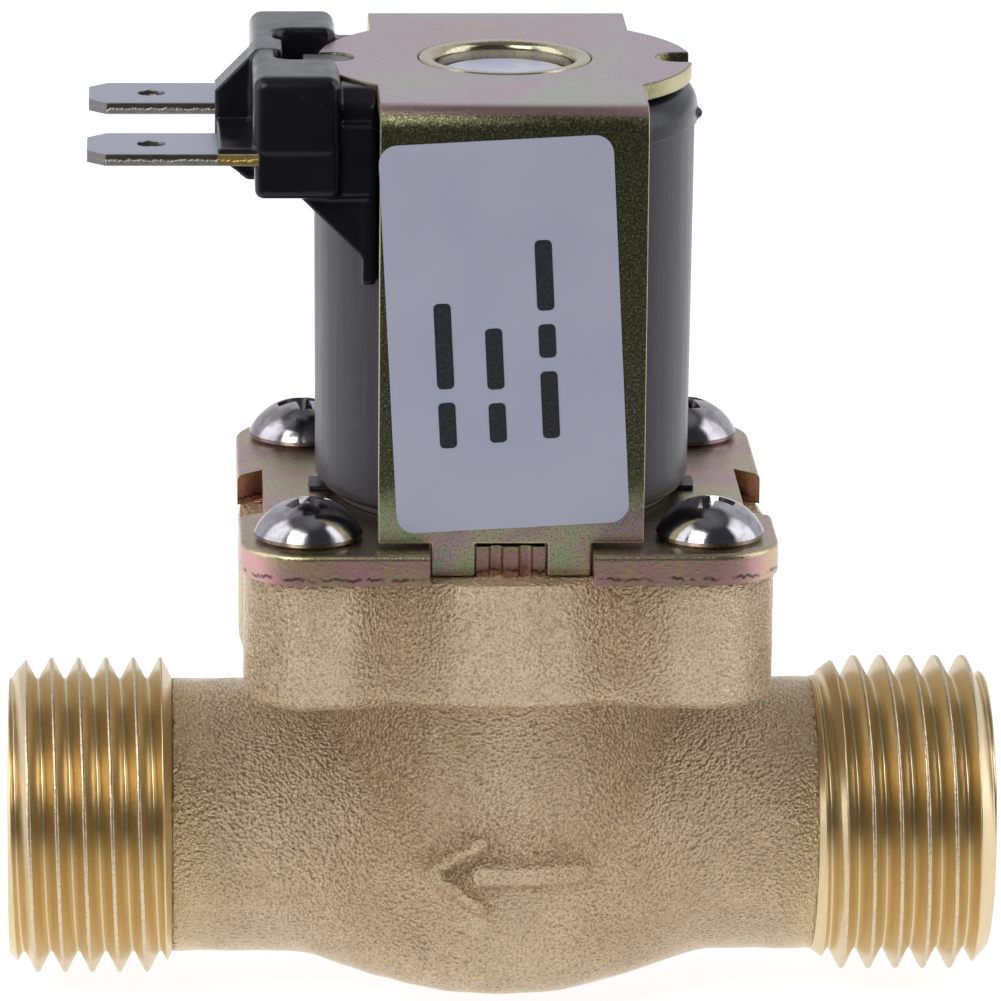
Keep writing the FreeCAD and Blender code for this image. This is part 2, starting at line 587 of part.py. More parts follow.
def head_block():
    """Terminal block: two towers joined by their outer wall, with a pocket between them."""
    whole = block(HEAD_LEFT, HEAD_RIGHT, -HEAD_HALF_Y, HEAD_HALF_Y, HEAD_BOTTOM, HEAD_TOP)
    whole = whole.makeFillet(0.9, [e for e in whole.Edges if e.BoundBox.XMin < HEAD_LEFT + 0.01
                                   or abs(e.BoundBox.YMin) > HEAD_HALF_Y - 0.01 and e.BoundBox.XLength > 1])
    pocket = block(HEAD_LEFT + HEAD_WALL_T, HEAD_RIGHT + 1, -HEAD_SLOT_HALF_Y, HEAD_SLOT_HALF_Y,
                   POCKET_FLOOR, HEAD_TOP + 1)
    pocket = pocket.makeFillet(1.2, [e for e in upright_edges(pocket)
                                     if e.BoundBox.XMin < HEAD_LEFT + HEAD_WALL_T + 0.01])
    return whole.cut(pocket)


def head_arm():
    """Front side arm of the head: a stepped block beside the yoke, a gusset and a rail."""
    inner = -YOKE_HALF_X - 0.07
    outer = HEAD_RIGHT - 1
    bar_outline = ((ARM_BACK_Y, ARM_BAR_BOTTOM), (ARM_BAR_FRONT_Y, ARM_BAR_BOTTOM),
                   (ARM_BAR_FRONT_Y, ARM_BAR_SLOPE_Z), (ARM_BAR_SLOPE_Y, ARM_BAR_TOP),
                   (ARM_BACK_Y, ARM_BAR_TOP))
    bar = prism([V(inner, -y, z) for y, z in bar_outline], V(outer - inner, 0, 0))
    lower = block(outer, inner, -ARM_BLOCK_FRONT_Y, -ARM_BACK_Y, HEAD_BOTTOM, ARM_BAR_BOTTOM)
    rail = block(RAIL_LEFT, inner, -RAIL_FRONT_Y, -RAIL_BACK_Y, RAIL_BOTTOM, HEAD_BOTTOM + 1)
    gusset_top = HEAD_BOTTOM + 0.5
    gusset_outline = ((GUSSET_LEFT, gusset_top), (GUSSET_LEFT, HEAD_BOTTOM), (GUSSET_RIGHT, GUSSET_BOTTOM),
                      (GUSSET_RIGHT, gusset_top))
    gusset = prism([V(x, -GUSSET_FRONT_Y, z) for x, z in gusset_outline], V(0, GUSSET_T, 0))
    return bar.fuse([lower, rail, gusset])


def head_web():
    """Upright web between the two tabs."""
    return prism([V(x, -WEB_HALF_Y, z) for x, z in WEB_OUTLINE], V(0, 2 * WEB_HALF_Y, 0))


def terminal_housing():
    """Moulded head: coil cap, terminal towers, web, side arms and the key in the yoke's slot."""
    saddle_half = HEAD_SLOT_HALF_Y + 0.2
    saddle = block(HEAD_LEFT + 1, -8.0, -saddle_half, saddle_half, HEAD_BOTTOM, POCKET_FLOOR)
    key_half = LOBE_SLOT_W / 2 - 0.1
    key_x = -LOBE_SLOT_END - LOBE_SLOT_W / 2
    key = block(-13.0, key_x, -key_half, key_half, POCKET_FLOOR - 0.5, KEY_TOP)
    key = key.fuse(disc(key_half, POCKET_FLOOR - 0.5, KEY_TOP, key_x, 0))
    arm = head_arm()
    blocks = head_block().fuse([head_web(), arm, mirrored_y(arm), saddle])
    blocks = blocks.cut(disc(COIL_R_TOP + 0.05, 0, COIL_SEAM))
    blocks = blocks.cut(disc(SPOOL_FLANGE_R + 0.05, 0, COIL_TOP + 0.01))
    blocks = blocks.cut(disc(LOBE_R + 0.15, COIL_TOP, HEAD_TOP + 1))
    head = fuse(blocks, head_rim(), key)
    return head.cut(leads_and_tabs())


# ---- export ------------------------------------------------------------------------------------
NODES = {
    "valve_body": valve_body,
    "inlet_strainer": inlet_strainer,
    "diaphragm": diaphragm,
    "pilot_insert": pilot_insert,
    "guide_tube": guide_tube,
    "plunger": plunger,
    "plunger_seal": plunger_seal,
    "plunger_spring": plunger_spring,
    "cover_plate": cover_plate,
    "cover_screws": cover_screws,
    "yoke": yoke,
    "label": label,
    "upper_flux_sleeve": upper_flux_sleeve,
    "lower_flux_sleeve": lower_flux_sleeve,
    "bobbin": bobbin,
    "winding": winding,
    "insulation_tape": insulation_tape,
    "coil_sleeve": coil_sleeve,
    "terminal_housing": terminal_housing,
    "terminal_front": lambda: terminal(-1),
    "terminal_rear": lambda: terminal(1),
    "lead_front": lambda: lead(-1),
    "lead_rear": lambda: lead(1),
}


def main():
    os.makedirs("parts", exist_ok=True)
    for name, build in NODES.items():
        shape = build()
        shape.translate(V(-BODY_LENGTH / 2, 0, 0))
        shape.exportStep("parts/" + name + ".step")
        print(name, "solids", len(shape.Solids), "valid", shape.isValid(), "volume", round(shape.Volume, 1))


main()
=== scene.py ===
import math

import bpy
import numpy as np
from mathutils import Matrix, Vector


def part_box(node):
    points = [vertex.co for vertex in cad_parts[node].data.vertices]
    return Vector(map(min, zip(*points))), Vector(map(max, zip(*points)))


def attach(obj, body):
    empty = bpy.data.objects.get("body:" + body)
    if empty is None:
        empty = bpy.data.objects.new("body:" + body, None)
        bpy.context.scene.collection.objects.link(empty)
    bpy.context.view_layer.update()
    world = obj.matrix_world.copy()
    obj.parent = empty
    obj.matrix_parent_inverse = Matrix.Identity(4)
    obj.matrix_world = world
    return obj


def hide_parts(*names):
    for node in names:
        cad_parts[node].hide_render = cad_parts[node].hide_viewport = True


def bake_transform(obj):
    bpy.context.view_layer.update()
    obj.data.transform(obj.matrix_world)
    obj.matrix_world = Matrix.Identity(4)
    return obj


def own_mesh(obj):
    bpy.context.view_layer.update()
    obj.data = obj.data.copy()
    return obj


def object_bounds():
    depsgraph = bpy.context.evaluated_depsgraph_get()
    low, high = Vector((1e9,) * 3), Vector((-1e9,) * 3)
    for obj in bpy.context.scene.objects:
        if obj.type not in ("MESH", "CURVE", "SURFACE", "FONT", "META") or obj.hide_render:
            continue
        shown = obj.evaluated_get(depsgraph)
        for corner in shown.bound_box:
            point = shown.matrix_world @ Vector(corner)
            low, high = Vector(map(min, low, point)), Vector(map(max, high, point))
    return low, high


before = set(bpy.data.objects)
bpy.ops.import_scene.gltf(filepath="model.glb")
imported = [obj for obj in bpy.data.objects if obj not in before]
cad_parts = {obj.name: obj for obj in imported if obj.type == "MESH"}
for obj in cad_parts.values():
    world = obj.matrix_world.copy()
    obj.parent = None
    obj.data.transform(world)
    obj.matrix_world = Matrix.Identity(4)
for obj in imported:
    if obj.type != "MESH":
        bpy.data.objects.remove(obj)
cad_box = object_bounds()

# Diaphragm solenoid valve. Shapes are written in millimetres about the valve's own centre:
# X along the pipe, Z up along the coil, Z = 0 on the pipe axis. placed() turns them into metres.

MM = 0.001
body_low, body_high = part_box("valve_body")
CENTRE_X = (body_low[0] + body_high[0]) / 2
HALF_LENGTH = (body_high[0] - body_low[0]) / 2 / MM

# ---- driving dimensions, in millimetres --------------------------------------------------------
PIPE_R = 9.08
BORE_R = 7.0
CUP_R = 11.75
CUP_SPHERE_R = 27.7
CUP_BOTTOM = -11.2
FLANGE_HALF_X = 17.1
FLANGE_HALF_Y = 17.2
FLANGE_CORNER_R = 4.2
FLANGE_BULGE_R = 17.25
FLANGE_BOTTOM = 12.0
FLANGE_TOP = 20.65
GROOVE_X = 7.1
GROOVE_R = 2.6
GROOVE_DEPTH = 0.9
ARROW_Z = -0.65
ARROW_RAISE = 0.45
SEAT_Z = 14.25
THREAD_R = 20.955 / 2
THREAD_PITCH = 1.814
THREAD_STARTS = (20.8, 21.7)       # where the run-out begins, at the inlet and at the outlet
RUNOUT_SLOPES = (0.75, 2.0)
CREST_AT_TOP = (22.1, -22.40)      # a thread crest's place along the top of each end
END_CHAMFER = (9.15, 1.1)          # radius at the end face, and how fast it grows inwards
CASTING_ENDS = (-21.75, 20.85)     # beyond them the pipe is machined
SCREW_POS = 12.94
SCREW_HOLE_R = 2.0
SCREW_HOLE_FLOOR = 13.95
NOZZLE_BORE_R = 3.6
CHAMBER_INNER_R = 5.4
RIM_LEDGE = 16.45
SOCKET_R = 14.0
COIL_SEAM = 47.6
COIL_TOP = 50.3
CAP_R = 12.62
POCKET_FLOOR = 48.7
KEY_TOP = 51.4
KEY_HALF_WIDTH = 1.4
KEY_END_X = -11.35
TAB_Y = 7.8
TAB_Z = 47.05
TAB_HALF_WIDTH = 3.175
TAB_HALF_THICK = 0.4
LABEL_X, LABEL_Z, LABEL_TILT = -0.55, 36.7, 3.1
LABEL_FRONT = -15.8
LABEL_HALF = (7.45, 12.7)
LABEL_ROWS = ((-3.9, -7.2, (3.0, 5.6)), (-0.7, -7.0, (2.6, 4.0)), (2.7, -6.9, (4.4, 2.2, 4.6)))
BODY_STEP = 0.25
HEAD_STEP = 0.16

# Blocks of the terminal head: lowest corner, highest corner, edge radius. Where a block stands on
# both sides of the middle plane its Y is the distance from that plane.
TOWER_TOP = (-16.5, -11.2, 46.9), (-10.9, 11.2, 52.4), 0.85
TOWER_LOW = (-16.42, -11.12, 44.4), (-10.9, 11.12, 48.5), 0.6
POCKET = (-14.95, -4.8, POCKET_FLOOR), (-5, 4.8, 56), 1.2
ARM_HIGH = (-11.9, 6.5, 46.0), (-8.6, 9.6, 51.3), 0.3
ARM_LOW = (-11.9, 6.5, 44.4), (-8.6, 10.4, 49.2), 0.35
RAIL = (-9.5, 8.2, 38.6), (-8.6, 10.0, 45.4), 0.2
SADDLE = (-15.5, -5.0, 44.4), (-8.0, 5.0, POCKET_FLOOR), 0.2
COVER = (-18.75, 1.0, 47.4), (-16.0, 10.9, 47.75), 0.1

# Camera: angles in degrees, lens in millimetres, place in millimetres from the valve's centre.
CAMERA_YAW, CAMERA_PITCH, CAMERA_ROLL = -2.591, -15.007, 0.545
CAMERA_LENS = 282.1
CAMERA_PLACE = (-22.63, -500.06, 155.79)


def placed(points):
    """Points in millimetres about the valve's centre, as metres in the model's frame."""
    metres = np.asarray(points, float) * MM
    metres[:, 0] += CENTRE_X
    return metres


# ---- mesh helpers ------------------------------------------------------------------------------
def add_piece(name, points, faces, body, slot, smooth=True):
    """A new object from points in millimetres; a blended piece is given no body."""
    mesh = bpy.data.meshes.new(name)
    mesh.from_pydata(placed(points).tolist(), [], [list(map(int, face)) for face in faces])
    mesh.validate()
    if smooth:
        mesh.shade_smooth()
    piece = bpy.data.objects.new(name, mesh)
    bpy.context.scene.collection.objects.link(piece)
    if body:
        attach(piece, body)
    mesh.materials.append(MATERIALS[slot])
    return piece


def grid_faces(rows, columns, closed_rows=False):
    """Quads of a grid of points whose columns close on themselves."""
    faces = []
    last = rows if closed_rows else rows - 1
    for i in range(last):
        for j in range(columns):
            a, b = i * columns + j, i * columns + (j + 1) % columns
            c, d = ((i + 1) % rows) * columns + (j + 1) % columns, ((i + 1) % rows) * columns + j
            faces.append((a, b, c, d))
    return faces


def turned(profile, turns=96):
    """Points and quads of a closed (radius, height) outline turned about Z."""
    angles = np.linspace(0, 2 * np.pi, turns, endpoint=False)
    r, z = np.array(profile, float).T
    points = np.stack([np.outer(r, np.cos(angles)), np.outer(r, np.sin(angles)),
                       np.repeat(z[:, None], turns, 1)], -1).reshape(-1, 3)
    return points, grid_faces(len(profile), turns, closed_rows=True)


def surface_net(field, low, high, step):
    """Quads of the surface where field(x, y, z) is zero; the field is negative inside."""
    axes = [np.arange(a, b + step, step) for a, b in zip(low, high)]
    value = field(*np.meshgrid(*axes, indexing="ij"))
    cells = np.array(value.shape) - 1
    ids, spots, rings, flips = [], [], [], []
    for axis in range(3):
        first = value[tuple(slice(0, -1) if k == axis else slice(None) for k in range(3))]
        second = value[tuple(slice(1, None) if k == axis else slice(None) for k in range(3))]
        at = np.argwhere((first < 0) != (second < 0))
        a, b = first[tuple(at.T)], second[tuple(at.T)]
        spot = at.astype(float)
        spot[:, axis] += a / (a - b)
        u, v = (axis + 1) % 3, (axis + 2) % 3
        corners = []
        for du, dv in ((0, 0), (1, 0), (1, 1), (0, 1)):
            cell = at.copy()
            cell[:, u] -= du
            cell[:, v] -= dv
            corners.append(np.ravel_multi_index(tuple(cell.T), cells, mode="clip"))
            ids.append(corners[-1])
            spots.append(spot)
        rings.append(np.stack(corners, 1))
        flips.append(a >= 0)
    used, order = np.unique(np.concatenate(ids), return_inverse=True)
    spots = np.concatenate(spots)
    share = np.bincount(order, minlength=len(used))
    points = np.stack([np.bincount(order, spots[:, k], len(used)) / share for k in range(3)], 1)
    points = points * step + np.array(low)
    quads = np.searchsorted(used, np.concatenate(rings))
    flip = np.concatenate(flips)
    quads[flip] = quads[flip][:, ::-1]
    return settle(field, points, step), quads


def settle(field, points, step):
    """Moves points onto the zero level of the field."""
    reach, limit = 0.05 * step, 0.3 * step
    for _ in range(2):
        value = field(*points.T)
        slope = np.stack([field(*(points + reach * row).T) - value for row in np.eye(3)], 1) / reach
        move = value[:, None] * slope / np.maximum((slope ** 2).sum(1), 0.2)[:, None]
        points = points - np.clip(move, -limit, limit)
    return points


# ---- distance fields ---------------------------------------------------------------------------
def blend_min(a, b, width):
    """The nearer of two distances, with a fillet of about this width where they meet."""
    share = np.clip(0.5 + 0.5 * (b - a) / width, 0, 1)
    return b + (a - b) * share - width * share * (1 - share)


def blend_max(a, b, width):
    """The farther of two distances, with an edge rounded by about this width."""
    return -blend_min(-a, -b, width)


def box_field(x, y, z, low, high, corner):
    """Distance to a block with rounded edges."""
    far = [abs(p - (a + b) / 2) - (b - a) / 2 + corner for p, a, b in zip((x, y, z), low, high)]
    outside = np.sqrt(sum(np.maximum(f, 0) ** 2 for f in far))
    return outside + np.minimum(np.maximum(np.maximum(far[0], far[1]), far[2]), 0) - corner


def stroke(x, z, start, end, half):
    """Distance to a stroke with round ends in the XZ plane."""
    dx, dz = end[0] - start[0], end[1] - start[1]
    along = np.clip(((x - start[0]) * dx + (z - start[1]) * dz) / (dx * dx + dz * dz), 0, 1)
    return np.hypot(x - start[0] - along * dx, z - start[1] - along * dz) - half


def ring_field(rho, z, outer, inner, low, high):
    """Distance to an upright ring between two radii and two heights."""
    return np.maximum(np.maximum(rho - outer, inner - rho), np.maximum(low - z, z - high))


def flow_arrow(x, y, z):
    """How far the raised flow arrow stands out of the front of the cup."""
    tip = (-5.0, ARROW_Z)
    shape = stroke(x, z, (tip[0] + 3.4, ARROW_Z), (4.9, ARROW_Z), 0.75)
    for side in (-1, 1):
        shape = np.minimum(shape, stroke(x, z, tip, (-1.5, ARROW_Z + side * 2.3), 0.45))
    soft = 0.20
    share = np.clip(0.5 - shape / (2 * soft), 0, 1)
    return np.where(y < 0, ARROW_RAISE * share * share * (3 - 2 * share), 0)


def flange_field(x, y, z):
    """Square flange with a round middle on each side and a groove beside each middle."""
    outline = box_field(x, y, 0 * z, (-FLANGE_HALF_X, -FLANGE_HALF_Y, -9),
                        (FLANGE_HALF_X, FLANGE_HALF_Y, 9), FLANGE_CORNER_R)
    outline = blend_min(outline, np.hypot(x, y) - FLANGE_BULGE_R, 0.6)
    reach = FLANGE_HALF_Y - GROOVE_DEPTH + GROOVE_R
    for a, b in ((x, y), (y, x)):
        groove = np.hypot(abs(a) - GROOVE_X, abs(b) - reach) - GROOVE_R
        outline = blend_max(outline, -groove, 1.4)
    return np.maximum(blend_max(outline, FLANGE_BOTTOM - z, 1.3), z - FLANGE_TOP)


def water_way(x, y, z):
    """The hollow inside of the body: two ports, the ring chamber, the nozzle and the socket."""
    rho, bore = np.hypot(x, y), np.hypot(y, z)
    hollow = np.minimum(np.maximum(bore - BORE_R, x - 4.2), np.maximum(bore - BORE_R, 6.2 - x))
    hollow = np.minimum(hollow, ring_field(rho, z, 10.8, CHAMBER_INNER_R, 12.85, SEAT_Z))
    hollow = np.minimum(hollow, ring_field(rho, z, 9.6, CHAMBER_INNER_R, 8.75, 12.86))
    hollow = np.minimum(hollow, ring_field(rho, z, 10.8, -1, SEAT_Z - 0.01, 16.46))
    hollow = np.minimum(hollow, ring_field(rho, z, SOCKET_R, -1, RIM_LEDGE, FLANGE_TOP + 1))
    hollow = np.minimum(hollow, ring_field(rho, z, NOZZLE_BORE_R, -1, 0, SEAT_Z + 0.1))
    rise = np.maximum(np.maximum(6.2 - x, x - 9.0), np.maximum(abs(y) - 4.0, abs(z - 4.6) - 4.6))
    return np.minimum(hollow, rise)


def casting_field(x, y, z):
    """The cast body between the two machined threads."""
    rho = np.hypot(x, y)
    pipe = np.hypot(y, z) - PIPE_R
    sphere = np.sqrt(rho ** 2 + (z - CUP_BOTTOM - CUP_SPHERE_R) ** 2) - CUP_SPHERE_R
    cup = blend_max(rho - CUP_R - flow_arrow(x, y, z), sphere, 2.5)
    cup = np.maximum(cup, z - FLANGE_BOTTOM - 1)
    body = blend_min(pipe, cup, np.where(z > 0, 1.2, np.clip(1.2 - 0.25 * z, 1.2, 3.2)))
    body = blend_min(body, flange_field(x, y, z), 1.7)
    wave = np.sin(0.9 * x + 1.1 * z) * np.sin(0.8 * y - 0.7 * z + 1) + np.sin(1.7 * x - 1.3 * y)
    body = body + 0.02 * wave
    body = np.maximum(body, z - FLANGE_TOP)
    body = np.maximum(body, np.maximum(x - CASTING_ENDS[1], CASTING_ENDS[0] - x))
    body = np.maximum(body, -water_way(x, y, z))
    screw = np.hypot(abs(x) - SCREW_POS, abs(y) - SCREW_POS) - SCREW_HOLE_R
    return np.maximum(body, -np.maximum(screw, SCREW_HOLE_FLOOR - z))


# ---- machined threads --------------------------------------------------------------------------
def thread_height(offset):
    """Radius of the 55 degree thread form at a distance along the axis from its crest."""
    tan = math.tan(math.radians(27.5))
    crest_r, root_r = 0.15, 0.16
    apex = THREAD_R + crest_r * (1 / math.sin(math.radians(27.5)) - 1)
    root = apex - THREAD_PITCH / 2 / tan + root_r * (1 / math.sin(math.radians(27.5)) - 1)
    away = abs((offset / THREAD_PITCH + 0.5) % 1 - 0.5) * THREAD_PITCH
    flank = apex - away / tan
    crest = THREAD_R - crest_r + np.sqrt(np.maximum(crest_r ** 2 - away ** 2, 0))
    valley = root + root_r - np.sqrt(np.maximum(root_r ** 2 - (THREAD_PITCH / 2 - away) ** 2, 0))
    touch = math.cos(math.radians(27.5))
    height = np.where(away < crest_r * touch, crest, flank)
    return np.where(THREAD_PITCH / 2 - away < root_r * touch, valley, height)


def thread_end(side, crest_at_top, runout_slope, start):
    """One threaded pipe end as a closed ring; side is 1 for the inlet and -1 for the outlet."""
    turns, samples_per_mm = 160, 16
    count = int((HALF_LENGTH - start) * samples_per_mm)
    along = np.linspace(start, HALF_LENGTH, count)
    angles = np.linspace(0, 2 * np.pi, turns, endpoint=False)
    x, theta = np.meshgrid(side * along, angles, indexing="ij")
    lead = THREAD_PITCH * (theta - np.pi / 2) / (2 * np.pi)
    radius = thread_height(x - crest_at_top - lead)
    radius = np.minimum(radius, PIPE_R - 0.02 + runout_slope * (abs(x) - start))
    end_r, growth = END_CHAMFER
    radius = np.minimum(radius, end_r + growth * (HALF_LENGTH - abs(x)))
    bore_chamfer = 0.5
    ring = np.ones(turns)
    rows_x = np.array([side * start * ring, *x, side * HALF_LENGTH * ring,
                       side * (HALF_LENGTH - bore_chamfer) * ring])
    rows_r = np.array([BORE_R * ring, *radius, (BORE_R + bore_chamfer) * ring, BORE_R * ring])
    points = np.stack([rows_x, rows_r * np.cos(angles), rows_r * np.sin(angles)], -1).reshape(-1, 3)
    faces = grid_faces(len(rows_x), turns, closed_rows=True)
    if side > 0:
        faces = [face[::-1] for face in faces]
    return points, faces


# ---- terminal head -----------------------------------------------------------------------------
def head_field(x, y, z):
    """Moulded head: coil cap, two terminal towers, web, gussets, rails and the key."""
    rho, ay = np.hypot(x, y), abs(y)
    cap = blend_max(rho - CAP_R, z - COIL_TOP, 2.2)
    cap = np.maximum(cap, COIL_SEAM - z)
    tower_top = box_field(x, y, z, *TOWER_TOP)
    draft = 0.02 * (47.1 - z)
    tower_low = box_field(x, y, z, *TOWER_LOW) + draft
    tower = np.minimum(tower_top, tower_low)
    pocket = box_field(x, y, z, *POCKET)
    tower = blend_max(tower, -pocket, 0.5)
    web = np.maximum.reduce([
        ay - 1.7, -18.86 - x, x + 14.5, 43.7 - z, z - 52.3,
        0.70 * (z - 52.3) - 0.71 * (x + 16.2), 0.78 * (44.6 - z) - 0.63 * (x + 17.9)])
    arm_high = box_field(x, ay, z, *ARM_HIGH)
    arm_high = blend_max(arm_high, 0.77 * (z - 51.35) + 0.64 * (ay - 8.3), 0.3)
    arm_low = box_field(x, ay, z, *ARM_LOW)
    rail = box_field(x, ay, z, *RAIL)
    gusset = np.maximum.reduce([ay - 9.9, 8.5 - ay, z - 44.9, x + 9.0,
                                0.707 * (44.4 - z) - 0.707 * (x + 13.5)])
    saddle = box_field(x, y, z, *SADDLE)
    cover = box_field(x, ay, z, *COVER)
    block = blend_min(tower, web, 0.35)
    for part, width in ((arm_high, 0.3), (arm_low, 0.3), (saddle, 0.2), (gusset, 0.3), (rail, 0.2),
                        (cover, 0.1)):
        block = blend_min(block, part, width)
    block = np.maximum(block, -np.maximum(rho - 12.5, z - COIL_SEAM))
    block = np.maximum(block, -np.maximum(rho - 12.35, COIL_TOP - z))
    head = blend_min(block, cap, 0.5)
    head = np.maximum(head, -np.maximum(rho - 11.25, z - 47.67))
    head = np.maximum(head, 5.72 - rho)
    level = np.maximum(z - KEY_TOP, POCKET_FLOOR - 0.5 - z)
    key = np.maximum(np.maximum(ay - KEY_HALF_WIDTH, level), np.maximum(-13.2 - x, x - KEY_END_X))
    key = np.minimum(key, np.maximum(np.hypot(x - KEY_END_X, y) - KEY_HALF_WIDTH, level))
    head = np.minimum(head, key)
    nub = np.sqrt((x - 12.5) ** 2 + (y + 1.5) ** 2 + (z - COIL_SEAM - 0.5) ** 2) - 0.35
    head = blend_min(head, nub, 0.2)
    tab = np.maximum(abs(ay - TAB_Y) - TAB_HALF_WIDTH, abs(z - TAB_Z) - TAB_HALF_THICK)
    tab = np.maximum(tab, x + 12.7)
    return np.maximum(head, -tab)


# ---- node helpers for materials ----------------------------------------------------------------
class Look:
    """A procedural material, built with short calls."""

    def __init__(self, name):
        self.material = bpy.data.materials.new(name)
        self.material.use_nodes = True
        self.tree = self.material.node_tree
        self.shader = self.tree.nodes["Principled BSDF"]
        coords = self.tree.nodes.new("ShaderNodeTexCoord")
        self.mm = self.vector("MULTIPLY", coords.outputs["Object"], (1000, 1000, 1000))

    def put(self, socket, value):
        """Links a node output to a socket, or sets the socket to a constant."""
        if isinstance(value, bpy.types.NodeSocket):
            self.tree.links.new(value, socket)
        else:
            socket.default_value = value

    def vector(self, operation, a, b):
        """A vector sum, product or the like of two inputs."""
        node = self.tree.nodes.new("ShaderNodeVectorMath")
        node.operation = operation
        self.put(node.inputs[0], a)
        self.put(node.inputs[1], b)
        return node.outputs[0]

    def math(self, operation, a, b=0.0):
        """A sum, product or the like of two numbers."""
        node = self.tree.nodes.new("ShaderNodeMath")
        node.operation = operation
        self.put(node.inputs[0], a)
        self.put(node.inputs[1], b)
        return node.outputs[0]

    def stretched(self, x, y, z):
        """The place in millimetres, scaled along each axis."""
        return self.vector("MULTIPLY", self.mm, (x, y, z))

    def axis(self, name, source=None):
        """One component of the place in millimetres, or of another vector."""
        node = self.tree.nodes.new("ShaderNodeSeparateXYZ")
        self.put(node.inputs[0], source or self.mm)
        return node.outputs[name]

    def facing(self, name):
        """A component of the surface normal, in the model's own frame."""
        node = self.tree.nodes.new("ShaderNodeTexCoord")
        return self.axis(name, node.outputs["Normal"])

    def noise(self, scale, detail=2.0, rough=0.5, where=None, distortion=0.0):
        """Cloudy noise from 0 to 1; the scale is in waves per millimetre."""
        node = self.tree.nodes.new("ShaderNodeTexNoise")
        self.put(node.inputs["Vector"], where or self.mm)
        node.inputs["Scale"].default_value = scale
        node.inputs["Detail"].default_value = detail
        node.inputs["Roughness"].default_value = rough
        node.inputs["Distortion"].default_value = distortion
        return node.outputs["Fac"]

    def cells(self, scale, smooth):
        """Rounded pebbles, as the distance to the nearest cell's middle."""
        node = self.tree.nodes.new("ShaderNodeTexVoronoi")
        node.feature = "SMOOTH_F1"
        self.put(node.inputs["Vector"], self.mm)
        node.inputs["Scale"].default_value = scale
        node.inputs["Smoothness"].default_value = smooth
        return node.outputs["Distance"]

    def spread(self, value, low, high, to_low=0.0, to_high=1.0):
        """A smooth step from to_low to to_high while the value goes from low to high."""
        node = self.tree.nodes.new("ShaderNodeMapRange")
        node.interpolation_type = "SMOOTHSTEP"
        for name, number in (("Value", value), ("From Min", low), ("From Max", high),
                             ("To Min", to_low), ("To Max", to_high)):
            self.put(node.inputs[name], number)
        return node.outputs["Result"]

    def ramp(self, value, stops):
        """A colour that runs through (place, colour) stops."""
        node = self.tree.nodes.new("ShaderNodeValToRGB")
        self.put(node.inputs[0], value)
        elements = node.color_ramp.elements
        while len(elements) < len(stops):
            elements.new(0.5)
        for element, (place, colour) in zip(elements, stops):
            element.position = place
            element.color = (*colour, 1)
        return node.outputs["Color"]

    def mix(self, share, a, b):
        """A colour between a and b."""
        node = self.tree.nodes.new("ShaderNodeMix")
        node.data_type = "RGBA"
        self.put(node.inputs["Factor"], share)
        self.put(node.inputs["A"], a if isinstance(a, bpy.types.NodeSocket) else (*a, 1))
        self.put(node.inputs["B"], b if isinstance(b, bpy.types.NodeSocket) else (*b, 1))
        return node.outputs["Result"]

    def bump(self, height, depth_mm, under=None):
        """A surface normal from a height, over an earlier bump if given."""
        node = self.tree.nodes.new("ShaderNodeBump")
        node.inputs["Strength"].default_value = 1.0
        node.inputs["Distance"].default_value = depth_mm * MM
        self.put(node.inputs["Height"], height)
        if under:
            self.put(node.inputs["Normal"], under)
        return node.outputs["Normal"]

    def finish(self, **inputs):
        """Sets the shader's inputs by name, and gives back the material."""
        for name, value in inputs.items():
            socket = self.shader.inputs[name.replace("_", " ")]
            if isinstance(value, tuple) and socket.type == "RGBA":
                value = (*value, 1)
            self.put(socket, value)
        return self.material


# ---- materials ---------------------------------------------------------------------------------
def cast_brass():
    """Shot-blasted casting: fine pebbled grain with painted shade in its crease hollows, turning golden
    where the machining begins.
    """
    look = Look("cast_brass")
    pebble = look.cells(3.6, smooth=0.8)
    crease = look.noise(4.6, 2.0, 0.55)
    fine = look.noise(11.0, 2.0, 0.6)
    height = look.math("MULTIPLY", crease, 1.5)
    for layer, weight in ((pebble, 0.5), (fine, 0.2)):
        height = look.math("ADD", height, look.math("MULTIPLY", layer, weight))
    patch = look.noise(0.22, 3.0, 0.6)
    bright = look.mix(look.spread(patch, 0.3, 0.7), (0.75, 0.595, 0.40), (0.69, 0.54, 0.355))
    # The crease hollows of the grain are painted darker: painted shade in the creases, not a stain.
    hollow = look.spread(crease, 0.30, 0.55)
    colour = look.mix(hollow, (0.52, 0.395, 0.25), bright)
    from_centre = look.math("ABSOLUTE", look.math("SUBTRACT", look.axis("X"), CENTRE_X / MM))
    drift = look.math("MULTIPLY", look.math("SUBTRACT", patch, 0.5), 3.0)
    near_thread = look.spread(look.math("ADD", from_centre, drift), 18.6, 20.9)
    colour = look.mix(look.math("MULTIPLY", near_thread, 0.75), colour, (0.78, 0.63, 0.38))
    rough = look.spread(patch, 0.3, 0.7, 0.19, 0.25)
    return look.finish(Base_Color=colour, Metallic=1.0, Roughness=rough, Normal=look.bump(height, 0.42))


